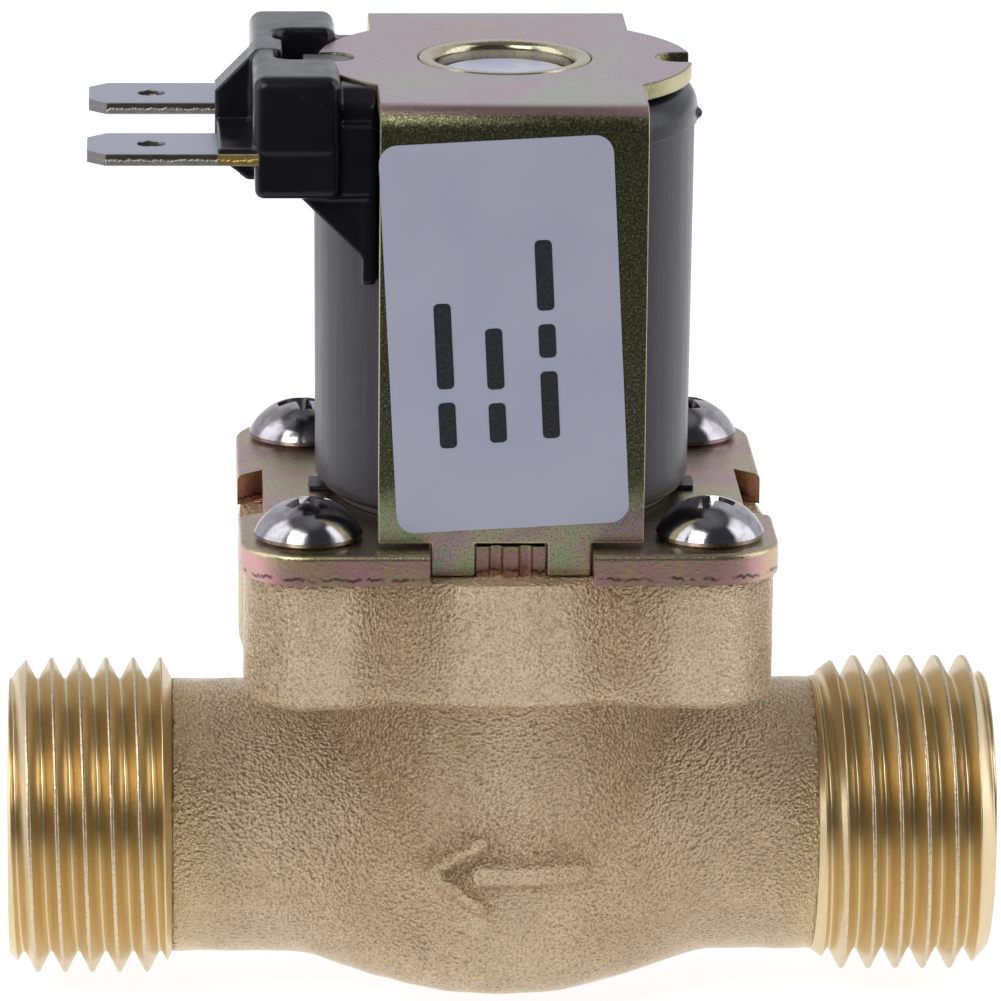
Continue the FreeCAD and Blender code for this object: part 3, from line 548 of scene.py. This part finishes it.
def cut_brass():
    """Machined brass of the threads, with fine turning lines and slightly torn crests."""
    look = Look("cut_brass")
    turning = look.noise(1.0, 3.0, 0.6, where=look.stretched(14, 0.25, 0.25))
    speck = look.noise(5.0, 2.0, 0.5)
    radius = look.tree.nodes.new("ShaderNodeVectorMath")
    radius.operation = "LENGTH"
    look.put(radius.inputs[0], look.vector("MULTIPLY", look.mm, (0, 1, 1)))
    crest = look.spread(radius.outputs["Value"], 10.25, 10.45)
    torn = look.math("MULTIPLY", crest, look.spread(speck, 0.45, 0.6))
    gold = look.mix(look.spread(turning, 0.3, 0.7), (0.78, 0.635, 0.385), (0.72, 0.575, 0.335))
    colour = look.mix(torn, gold, (0.60, 0.52, 0.42))
    bump = look.bump(turning, 0.010, look.bump(look.math("MULTIPLY", crest, speck), 0.04))
    return look.finish(Base_Color=colour, Metallic=1.0, Roughness=look.spread(speck, 0.3, 0.7, 0.28, 0.36),
                       Normal=bump)


def chromate(name, stops, patch_scale, rough, speckle_mm, speckle_scale=4.5, pits=0.35):
    """Iridescent yellow chromate over zinc: the hue drifts across the sheet."""
    look = Look(name)
    drift = look.noise(patch_scale, 3.0, 0.6, distortion=0.8)
    grain = look.noise(speckle_scale, 3.0, 0.65)
    fine = look.noise(11.0, 2.0, 0.5)
    hue = look.math("ADD", look.math("MULTIPLY", drift, 0.8), look.math("MULTIPLY", grain, 0.25))
    colour = look.ramp(look.spread(hue, 0.28, 0.78), stops)
    colour = look.mix(look.spread(grain, 0.32, 0.50, pits, 0.0), colour, (0.10, 0.09, 0.04))
    bump = look.bump(grain, speckle_mm, look.bump(fine, speckle_mm * 0.35))
    return look, colour, bump, look.spread(grain, 0.3, 0.7, rough + 0.08, rough - 0.05)


PLATE_STOPS = ((0.0, (0.42, 0.37, 0.19)), (0.3, (0.44, 0.41, 0.24)), (0.55, (0.48, 0.36, 0.27)),
               (0.78, (0.47, 0.29, 0.29)), (1.0, (0.33, 0.38, 0.26)))
YOKE_STOPS = ((0.0, (0.46, 0.49, 0.40)), (0.3, (0.50, 0.46, 0.43)), (0.55, (0.51, 0.42, 0.46)),
              (0.8, (0.53, 0.41, 0.40)), (1.0, (0.52, 0.50, 0.40)))


def plate_steel():
    """Cover plate: chromate faces, and sheared edges with a torn line."""
    look, colour, bump, rough = chromate("plate_steel", PLATE_STOPS, 0.16, 0.30, 0.02)
    z = look.axis("Z")
    upright = look.spread(look.math("ABSOLUTE", look.facing("Z")), 0.75, 0.35)
    drift = look.noise(0.35, 3.0, 0.6)
    sheared = look.ramp(drift, ((0.35, (0.70, 0.36, 0.38)), (0.5, (0.58, 0.37, 0.32)),
                                (0.65, (0.64, 0.44, 0.27))))
    ragged = look.noise(1.2, 5.0, 0.8, where=look.stretched(1, 1, 0.2))
    torn = look.math("ADD", z, look.math("MULTIPLY", ragged, 1.1))
    tear = look.math("MULTIPLY", look.spread(torn, 21.45, 21.55), look.spread(torn, 21.75, 21.65))
    tear = look.math("MULTIPLY", tear, look.spread(look.noise(0.9, 2.0), 0.38, 0.55))
    sheared = look.mix(look.math("MULTIPLY", tear, 0.9), sheared, (0.05, 0.04, 0.03))
    sheared = look.mix(look.spread(z, 22.25, 22.45), sheared, (0.50, 0.46, 0.26))
    colour = look.mix(look.math("MULTIPLY", upright, 0.85), colour, sheared)
    return look.finish(Base_Color=colour, Metallic=1.0, Roughness=rough, Normal=bump)


def yoke_steel():
    """Yoke: iridescent top, rusty outer bend, speckled olive legs with a paler foot."""
    look, colour, bump, rough = chromate("yoke_steel", YOKE_STOPS, 0.09, 0.36, 0.012, pits=0.06)
    up = look.facing("Z")
    speck = look.noise(6.5, 3.0, 0.7)
    olive = look.ramp(speck, ((0.3, (0.05, 0.053, 0.024)), (0.52, (0.125, 0.13, 0.066)),
                              (0.66, (0.36, 0.34, 0.22))))
    patch = look.noise(0.30, 3.0, 0.55, distortion=0.5)
    foot = look.ramp(patch, ((0.32, (0.55, 0.68, 0.38)), (0.48, (0.70, 0.64, 0.42)),
                             (0.60, (0.70, 0.50, 0.50)), (0.72, (0.50, 0.63, 0.46))))
    foot = look.mix(look.spread(speck, 0.34, 0.52, 0.6, 0.0), foot, (0.10, 0.09, 0.07))
    low_down = look.math("ADD", look.axis("Z"), look.math("MULTIPLY", patch, 4.0))
    leg = look.mix(look.spread(low_down, 29.5, 25.5), olive, foot)
    side = look.spread(look.math("ABSOLUTE", look.facing("X")), 0.6, 0.9)
    leg = look.mix(side, leg, (0.52, 0.48, 0.27))
    bend = look.math("MULTIPLY", look.spread(up, 0.55, 0.75), look.spread(up, 0.985, 0.93))
    leg = look.mix(look.math("MULTIPLY", bend, 0.8), leg, (0.42, 0.27, 0.27))
    colour = look.mix(look.spread(up, 0.90, 0.99), leg, colour)
    return look.finish(Base_Color=colour, Metallic=1.0, Roughness=rough,
                       Normal=look.bump(look.math("MULTIPLY", speck, look.spread(up, 0.9, 0.5)), 0.02, bump))


def sleeve_steel():
    """Flux sleeves: chromate, smoother and brighter than the plate."""
    look, colour, bump, rough = chromate("sleeve_steel", (
        (0.0, (0.42, 0.38, 0.20)), (0.5, (0.52, 0.47, 0.33)), (1.0, (0.40, 0.42, 0.28))), 0.3, 0.18, 0.008)
    return look.finish(Base_Color=colour, Metallic=1.0, Roughness=rough, Normal=bump)


def nickel():
    """Screw heads: bright nickel with a few stains."""
    look = Look("nickel")
    stain = look.noise(0.8, 4.0, 0.6)
    scratch = look.noise(1.0, 3.0, 0.6, where=look.stretched(9, 9, 2))
    colour = look.mix(look.spread(stain, 0.35, 0.75), (0.46, 0.45, 0.46), (0.26, 0.24, 0.24))
    return look.finish(Base_Color=colour, Metallic=1.0, Roughness=look.spread(stain, 0.3, 0.7, 0.1, 0.2),
                       Normal=look.bump(scratch, 0.004))


def tinned_brass():
    """Blades: dull tin, with a sheared edge that shows brass at the root."""
    look = Look("tinned_brass")
    grain = look.noise(2.0, 3.0, 0.6)
    rolled = look.noise(1.0, 3.0, 0.6, where=look.stretched(1.2, 10, 10))
    side = look.spread(look.math("ABSOLUTE", look.facing("Y")), 0.6, 0.9)
    edge = look.math("ADD", look.axis("Z"), look.math("MULTIPLY", look.noise(2.2, 3.0, 0.7), 0.5))
    sheared = look.spread(edge, 47.38, 47.2)
    root = look.spread(look.axis("X"), 1000 * CENTRE_X - 18.9, 1000 * CENTRE_X - 18.6)
    cut = look.mix(root, look.mix(sheared, (0.16, 0.14, 0.11), (0.66, 0.64, 0.60)), (0.66, 0.46, 0.16))
    colour = look.mix(side, look.mix(grain, (0.44, 0.45, 0.52), (0.50, 0.51, 0.58)), cut)
    end = look.spread(look.math("ABSOLUTE", look.facing("X")), 0.35, 0.6)
    colour = look.mix(end, colour, (0.20, 0.19, 0.19))
    return look.finish(Base_Color=colour, Metallic=1.0, Roughness=look.spread(grain, 0.3, 0.7, 0.34, 0.44),
                       Normal=look.bump(rolled, 0.01, look.bump(look.math("MULTIPLY", sheared, side), 0.05)))


def black_gloss():
    """Terminal head: glossy black moulding with dust and fine scratches."""
    look = Look("black_gloss")
    dust = look.spread(look.noise(1.8, 4.0, 0.7), 0.62, 0.78)
    wear = look.noise(0.5, 4.0, 0.6)
    scratch = look.noise(1.0, 3.0, 0.7, where=look.stretched(7, 7, 0.7))
    colour = look.mix(look.math("MULTIPLY", dust, 0.35), (0.0095, 0.0095, 0.014), (0.06, 0.06, 0.07))
    rough = look.math("ADD", look.spread(wear, 0.3, 0.7, 0.13, 0.26), look.math("MULTIPLY", dust, 0.2))
    return look.finish(Base_Color=colour, Roughness=rough, IOR=1.40,
                       Normal=look.bump(scratch, 0.012, look.bump(wear, 0.04)))


def sleeve_black():
    """Coil sleeve: satin black with upright streaks."""
    look = Look("sleeve_black")
    streak = look.noise(1.0, 4.0, 0.65, where=look.stretched(0.9, 0.9, 0.05))
    dust = look.spread(look.noise(2.6, 4.0, 0.75), 0.60, 0.80)
    colour = look.mix(look.spread(streak, 0.3, 0.7), (0.012, 0.012, 0.018), (0.026, 0.025, 0.036))
    colour = look.mix(look.math("MULTIPLY", dust, 0.5), colour, (0.12, 0.12, 0.13))
    rough = look.spread(streak, 0.3, 0.7, 0.27, 0.38)
    return look.finish(Base_Color=colour, Roughness=rough, IOR=1.42,
                       Normal=look.bump(streak, 0.03, look.bump(look.noise(4.0, 2.0), 0.01)))


def label_film():
    """Label: satin pale violet-grey film."""
    look = Look("label_film")
    fibre = look.noise(3.5, 3.0, 0.6)
    cloud = look.noise(0.15, 3.0, 0.5)
    colour = look.mix(look.spread(cloud, 0.3, 0.7), (0.53, 0.54, 0.66), (0.49, 0.505, 0.62))
    return look.finish(Base_Color=colour, Roughness=look.spread(fibre, 0.3, 0.7, 0.42, 0.5), IOR=1.45,
                       Normal=look.bump(fibre, 0.006))


def printed_ink():
    """Marks on the label: slightly patchy black ink."""
    look = Look("printed_ink")
    patchy = look.noise(6.0, 3.0, 0.7)
    colour = look.mix(look.spread(patchy, 0.35, 0.6), (0.035, 0.035, 0.045), (0.012, 0.012, 0.016))
    return look.finish(Base_Color=colour, Roughness=0.5, Normal=look.bump(patchy, 0.004))


def soft_plastic(name, light, dark, rough, grain_mm=0.01, scatter=0.0, grain_scale=4.0):
    """A cloudy moulded plastic or rubber with a fine grain."""
    look = Look(name)
    cloud = look.noise(0.4, 3.0, 0.5)
    grain = look.noise(grain_scale, 3.0, 0.6)
    colour = look.mix(look.spread(cloud, 0.3, 0.7), light, dark)
    return look.finish(Base_Color=colour, Roughness=look.spread(grain, 0.3, 0.7, rough - 0.05, rough + 0.05),
                       Subsurface_Weight=scatter, Subsurface_Scale=0.001, Normal=look.bump(grain, grain_mm))


def bare_metal(name, light, dark, rough, lines=(1.0, 1.0, 8.0)):
    """A bare metal with turning or drawing lines."""
    look = Look(name)
    cloud = look.noise(0.5, 3.0, 0.5)
    line = look.noise(1.5, 3.0, 0.6, where=look.stretched(*lines))
    colour = look.mix(look.spread(cloud, 0.3, 0.7), light, dark)
    return look.finish(Base_Color=colour, Metallic=1.0, Normal=look.bump(line, 0.01),
                       Roughness=look.spread(line, 0.3, 0.7, rough, rough + 0.1))


MATERIALS = {
    "cast_brass": cast_brass(),
    "white_plastic": soft_plastic("white_plastic", (0.76, 0.76, 0.73), (0.70, 0.70, 0.66), 0.4, scatter=0.1),
    "black_rubber": soft_plastic("black_rubber", (0.022, 0.022, 0.022), (0.014, 0.014, 0.015), 0.6, 0.02),
    "guide_tube_plastic": soft_plastic("guide_tube_plastic", (0.60, 0.61, 0.74), (0.55, 0.56, 0.69), 0.35,
                                       0.006, scatter=0.1, grain_scale=1.2),
    "plunger_steel": bare_metal("plunger_steel", (0.58, 0.57, 0.56), (0.52, 0.51, 0.50), 0.22),
    "seal_rubber": soft_plastic("seal_rubber", (0.20, 0.055, 0.03), (0.16, 0.045, 0.025), 0.55, 0.015),
    "spring_steel": bare_metal("spring_steel", (0.55, 0.54, 0.53), (0.46, 0.45, 0.44), 0.24, (3, 3, 3)),
    "zinc_chromate_plate": plate_steel(),
    "nickel_screw": nickel(),
    "zinc_chromate_yoke": yoke_steel(),
    "label_film": label_film(),
    "zinc_chromate_sleeve": sleeve_steel(),
    "bobbin_plastic": soft_plastic("bobbin_plastic", (0.022, 0.022, 0.026), (0.016, 0.016, 0.019), 0.4),
    "copper_winding": bare_metal("copper_winding", (0.62, 0.27, 0.13), (0.50, 0.20, 0.09), 0.26, (1, 1, 3)),
    "tape_film": soft_plastic("tape_film", (0.62, 0.44, 0.07), (0.55, 0.38, 0.05), 0.3),
    "coil_sleeve_plastic": sleeve_black(),
    "housing_plastic": black_gloss(),
    "tinned_brass": tinned_brass(),
    "lead_wire": bare_metal("lead_wire", (0.62, 0.33, 0.20), (0.52, 0.26, 0.14), 0.3, (4, 4, 4)),
}
for name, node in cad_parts.items():
    for place in node.material_slots:
        place.material = MATERIALS[place.material.name.split(".")[0]]


# ---- pieces ------------------------------------------------------------------------------------
def make_body():
    """The casting and its two machined ends, as one piece with two materials."""
    points, quads = surface_net(casting_field, (-22.3, -18, -12.5), (21.6, 18, 21.3), BODY_STEP)
    cast_count = len(quads)
    all_points, faces = [points], quads.tolist()
    for side, crest, slope, start in zip((1, -1), CREST_AT_TOP, RUNOUT_SLOPES, THREAD_STARTS):
        end_points, end_faces = thread_end(side, crest, slope, start)
        faces += (np.array(end_faces) + sum(map(len, all_points))).tolist()
        all_points.append(end_points)
    body = add_piece("cast_body", np.concatenate(all_points), faces, "valve", "cast_brass")
    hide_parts("valve_body")
    body.data.materials.append(cut_brass())
    machined = np.zeros(len(body.data.polygons), dtype=np.int32)
    machined[cast_count:] = 1
    body.data.polygons.foreach_set("material_index", machined)


def make_head():
    """The moulded terminal head, with the cap of the coil."""
    points, quads = surface_net(head_field, (-19.3, -13.1, 38.2), (13.2, 13.1, 52.8), HEAD_STEP)
    head = add_piece("moulded_head", points, quads.tolist(), "valve", "housing_plastic")
    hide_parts("terminal_housing")


def rounded_outline(half_w, half_h, corner, steps=8):
    """Points round a rectangle with round corners, in the label's own measures."""
    outline = []
    for sx, sz, start in ((1, 1, 0), (-1, 1, 90), (-1, -1, 180), (1, -1, 270)):
        for k in range(steps + 1):
            angle = math.radians(start + 90 * k / steps)
            outline.append((sx * (half_w - corner) + corner * math.cos(angle),
                            sz * (half_h - corner) + corner * math.sin(angle)))
    return outline


def on_label(u, v, y):
    """A point of the tilted label from its own across and up measures."""
    angle = math.radians(LABEL_TILT)
    return (LABEL_X + u * math.cos(angle) - v * math.sin(angle), y,
            LABEL_Z + u * math.sin(angle) + v * math.cos(angle))


def flat_sheet(outline, y_front, y_back):
    """A thin sheet in the plane of the label, from one closed outline."""
    count = len(outline)
    points = [on_label(u, v, y) for y in (y_front, y_back) for u, v in outline]
    faces = [tuple(range(count - 1, -1, -1)), tuple(range(count, 2 * count))]
    for k in range(count):
        after = (k + 1) % count
        faces.append((k, after, after + count, k + count))
    return points, faces


def make_label():
    """The label film, and plain bars where the real one is printed."""
    points, faces = flat_sheet(rounded_outline(*LABEL_HALF, 1.2), LABEL_FRONT, LABEL_FRONT + 0.1)
    film = add_piece("label_sheet", points, faces, "valve", "label_film", smooth=False)
    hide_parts("label")
    points, faces = [], []
    for u, start, dashes in LABEL_ROWS:
        v = start
        for length in dashes:
            dash = [(u + a, v + length / 2 + b) for a, b in rounded_outline(0.55, length / 2, 0.3, 3)]
            new_points, new_faces = flat_sheet(dash, LABEL_FRONT - 0.02, LABEL_FRONT)
            faces += [tuple(i + len(points) for i in face) for face in new_faces]
            points += new_points
            v += length + 0.9
    ink = add_piece("label_marks", points, faces, "valve", "label_film", smooth=False)
    ink.data.materials[0] = printed_ink()


def make_spring():
    """Return spring as a wire swept along a helix, with capped ends."""
    low, high, spring_r, wire_r, turns = 36.87, 49.25, 2.1, 0.28, 8
    steps, around = 40 * turns, 10
    t = np.linspace(0, 1, steps + 1)
    angle = 2 * np.pi * turns * t
    height = low + (high - low) * t
    ring = np.linspace(0, 2 * np.pi, around, endpoint=False)
    radius = spring_r + wire_r * np.cos(ring)[None, :]
    points = np.stack([radius * np.cos(angle)[:, None], radius * np.sin(angle)[:, None],
                       height[:, None] + wire_r * np.sin(ring)[None, :]], -1).reshape(-1, 3)
    faces = [face[::-1] for face in grid_faces(steps + 1, around)]
    faces += [tuple(range(around)), tuple(range((steps + 1) * around - 1, steps * around - 1, -1))]
    spring = add_piece("return_spring", points, faces, "valve", "spring_steel")
    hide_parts("plunger_spring")
    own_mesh(spring)


def make_diaphragm():
    """Rubber disc with a rolled web between its pad and its clamped rim."""
    profile = [(1.7, 14.25), (6.0, 14.25), (6.35, 14.38), (7.0, 14.75), (8.2, 15.15), (9.4, 15.75),
               (10.3, 16.50), (13.9, 16.50), (13.9, 18.22), (10.75, 18.22), (10.45, 17.6), (9.7, 16.75),
               (8.5, 16.0), (7.2, 15.55), (6.2, 15.42), (1.7, 15.42)]
    points, faces = turned(profile)
    disc = add_piece("rubber_diaphragm", points, faces, None, "black_rubber")
    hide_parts("diaphragm")
    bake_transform(disc)


def make_winding():
    """Copper winding: each visible turn of the outer layer is a ridge."""
    inner, outer, low, high, wire = 6.72, 10.85, 24.02, 46.33, 0.46
    turns = int((high - low) / wire)
    profile = [(inner, high), (inner, low)]
    for k in range(turns):
        start = low + k * (high - low) / turns
        for share in (0.05, 0.28, 0.5, 0.72, 0.95):
            lift = wire / 2 * (1 - math.sin(math.pi * share))
            profile.append((outer - 0.6 * lift, start + share * (high - low) / turns))
    points, faces = turned(profile, 72)
    winding = add_piece("copper_turns", points, faces, "valve", "copper_winding")
    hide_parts("winding")


make_body()
make_head()
make_label()
make_spring()
make_diaphragm()
make_winding()


def soften(name, width_mm):
    """Rounds the sharp edges of a CAD sheet-metal node, so that they catch the light."""
    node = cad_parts[name]
    weld = node.modifiers.new("weld", "WELD")
    weld.merge_threshold = 1e-6
    bevel = node.modifiers.new("edge", "BEVEL")
    bevel.width, bevel.segments, bevel.limit_method = width_mm * MM, 2, "ANGLE"
    bevel.angle_limit = math.radians(35)
    bevel.harden_normals = True


soften("yoke", 0.12)
soften("terminal_front", 0.09)
soften("terminal_rear", 0.09)


# ---- floor, light and camera -------------------------------------------------------------------
def make_floor():
    """A pale glowing floor under the valve; its glow is painted dimmer towards the camera, as painted shade
    in front of the valve.
    """
    mesh = bpy.data.meshes.new("floor")
    half, front, z = 1.6, -0.13, cad_box[0][2]
    mesh.from_pydata([(-half, front, z), (half, front, z), (half, half, z), (-half, half, z)], [],
                     [(0, 1, 2, 3)])
    floor = bpy.data.objects.new("floor", mesh)
    bpy.context.scene.collection.objects.link(floor)
    look = Look("pale_floor")
    # The floor's glow falls off towards the camera: painted shade on the floor in front of the valve.
    near = look.spread(look.axis("Y"), -75.0, -2.0)
    glow_with_painted_shade = look.mix(near, (0.28, 0.285, 0.30), (0.86, 0.86, 0.88))
    look.finish(Base_Color=(0.35, 0.35, 0.35), Roughness=0.9, Emission_Color=glow_with_painted_shade, Emission_Strength=1.0,
                Specular_IOR_Level=0.0)
    mesh.materials.append(look.material)


def make_world():
    """Bright side boxes, a weaker back wall and a faint ceiling; the camera itself sees plain white."""
    world = bpy.data.worlds.new("studio")
    bpy.context.scene.world = world
    world.use_nodes = True
    look = Look("world_helper")
    tree = world.node_tree
    look.tree = tree
    direction = tree.nodes.new("ShaderNodeTexCoord").outputs["Generated"]
    x, y, z = (look.axis(name, direction) for name in "XYZ")
    height = look.math("MULTIPLY", look.math("ARCSINE", z), 180 / math.pi)
    turn = look.math("MULTIPLY", look.math("ARCTAN2", x, look.math("MULTIPLY", y, -1)), 180 / math.pi)
    across = look.math("ABSOLUTE", turn)

    def band(value, low, high, soft):
        return look.math("MULTIPLY", look.spread(value, low - soft, low + soft),
                         look.spread(value, high + soft, high - soft))

    total = 0.06
    boxes = ((band(across, 64, 112, 5), band(height, -10, 58, 5), 1.9),
             (band(across, 112, 200, 12), band(height, -60, 58, 8), 0.68),
             (band(across, -40, 200, 8), band(height, 68, 95, 8), 0.20))
    for sideways, upright, strength in boxes:
        box = look.math("MULTIPLY", look.math("MULTIPLY", sideways, upright), strength)
        total = look.math("ADD", total, box)
    output = next(n for n in tree.nodes if n.bl_idname == "ShaderNodeOutputWorld")
    studio = next(n for n in tree.nodes if n.bl_idname == "ShaderNodeBackground")
    look.put(studio.inputs["Strength"], total)
    studio.inputs["Color"].default_value = (0.95, 0.96, 1.03, 1)
    plain = tree.nodes.new("ShaderNodeBackground")
    plain.inputs["Color"].default_value = (1, 1, 1, 1)
    path = tree.nodes.new("ShaderNodeLightPath")
    mixer = tree.nodes.new("ShaderNodeMixShader")
    tree.links.new(path.outputs["Is Camera Ray"], mixer.inputs[0])
    tree.links.new(studio.outputs[0], mixer.inputs[1])
    tree.links.new(plain.outputs[0], mixer.inputs[2])
    tree.links.new(mixer.outputs[0], output.inputs["Surface"])
    bpy.data.materials.remove(look.material)


def make_softbox():
    """A soft panel up to the left of the camera; it lights the left pipe's upper side."""
    light = bpy.data.lights.new("softbox", "AREA")
    light.shape, light.size, light.size_y = "RECTANGLE", 0.21, 0.25
    light.energy = 0.75
    panel = bpy.data.objects.new("softbox", light)
    bpy.context.scene.collection.objects.link(panel)
    place = Vector((CENTRE_X - 0.185, -0.27, 0.30))
    aim = Vector((CENTRE_X, 0, 0.01))
    panel.location = place
    panel.rotation_mode = "QUATERNION"
    panel.rotation_quaternion = (aim - place).to_track_quat("-Z", "Y")
    panel.visible_camera = False


def make_camera():
    """The camera looks down on the front of the valve from straight ahead."""
    yaw, pitch, roll = (math.radians(a) for a in (CAMERA_YAW, CAMERA_PITCH, CAMERA_ROLL))
    ahead = Vector((-math.sin(yaw) * math.cos(pitch), math.cos(yaw) * math.cos(pitch), math.sin(pitch)))
    right = Vector((math.cos(yaw), math.sin(yaw), 0))
    up = right.cross(ahead)
    right, up = (math.cos(roll) * right + math.sin(roll) * up,
                 math.cos(roll) * up - math.sin(roll) * right)
    camera = bpy.data.objects.new("camera", bpy.data.cameras.new("camera"))
    bpy.context.scene.collection.objects.link(camera)
    camera.data.sensor_width = 36
    camera.data.lens = CAMERA_LENS
    camera.data.clip_start = 0.01
    matrix = Matrix((right, up, -ahead)).transposed().to_4x4()
    across, ahead_of, above = (part * MM for part in CAMERA_PLACE)
    matrix.translation = Vector((CENTRE_X + across, ahead_of, above))
    camera.matrix_world = matrix
    bpy.context.scene.camera = camera


make_floor()
make_world()
make_softbox()
make_camera()
bpy.context.scene.view_settings.view_transform = "Standard"
